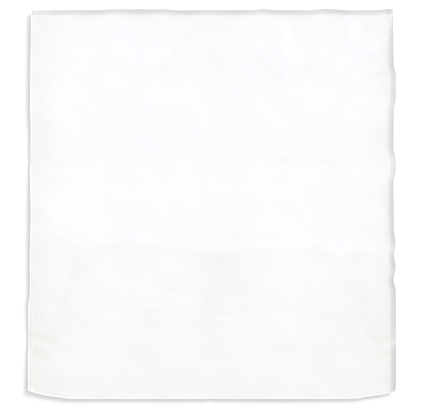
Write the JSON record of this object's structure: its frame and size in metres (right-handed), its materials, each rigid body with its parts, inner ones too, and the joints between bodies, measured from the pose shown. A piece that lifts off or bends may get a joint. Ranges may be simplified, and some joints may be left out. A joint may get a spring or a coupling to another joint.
{
  "type": "arm sling cloth",
  "caption": "Nearly square plain white cotton sling cloth with a narrow stitched hem and sloped lower corners, opened flat and folding along its pressed creases.",
  "frame": {"origin": "on the underside of the cloth, in the middle of its outline", "axes": "+X across the cloth to the right, +Y along it to its upper edge, +Z out of its face"},
  "size_m": [0.911, 0.962, 0.0014],
  "materials": {
    "cloth": "bleached plain-weave cotton, matt, softly creased",
    "hem": "the same cotton turned over twice and pressed",
    "thread": "white spun sewing thread, slight sheen"
  },
  "bodies": {
    "row_top": {"panel_top": "cloth", "hem_left_top": "hem", "hem_right_top": "hem", "thread_left_top": "thread", "thread_right_top": "thread", "hem_top_edge": "hem", "thread_top_edge": "thread"},
    "row_upper": {"panel_upper": "cloth", "hem_left_upper": "hem", "hem_right_upper": "hem", "thread_left_upper": "thread", "thread_right_upper": "thread"},
    "row_middle": {"panel_middle": "cloth", "hem_left_middle": "hem", "hem_right_middle": "hem", "thread_left_middle": "thread", "thread_right_middle": "thread"},
    "row_lower": {"panel_lower": "cloth", "hem_left_lower": "hem", "hem_right_lower": "hem", "thread_left_lower": "thread", "thread_right_lower": "thread"},
    "row_bottom": {"panel_bottom": "cloth", "hem_left_bottom": "hem", "hem_right_bottom": "hem", "thread_left_bottom": "thread", "thread_right_bottom": "thread", "hem_bottom_edge": "hem", "thread_bottom_edge": "thread"}
  },
  "joints": [
    {"name": "fold_bottom", "type": "hinge", "parent": "row_bottom", "child": "row_lower", "pos_m": [0, -0.331, 0.003], "axis": [1, 0, 0], "range_deg": [0, 175]},
    {"name": "fold_lower", "type": "hinge", "parent": "row_lower", "child": "row_middle", "pos_m": [0, -0.111, -0.0018], "axis": [-1, 0, 0], "range_deg": [0, 175]},
    {"name": "fold_upper", "type": "hinge", "parent": "row_middle", "child": "row_upper", "pos_m": [0, 0.114, 0.003], "axis": [1, 0, 0], "range_deg": [0, 175]},
    {"name": "fold_top", "type": "hinge", "parent": "row_upper", "child": "row_top", "pos_m": [0, 0.317, -0.0018], "axis": [-1, 0, 0], "range_deg": [0, 175]}
  ],
  "couplings": [
    {"joint": "fold_lower", "follows": "fold_bottom", "ratio": 1},
    {"joint": "fold_top", "follows": "fold_upper", "ratio": 1}
  ]
}
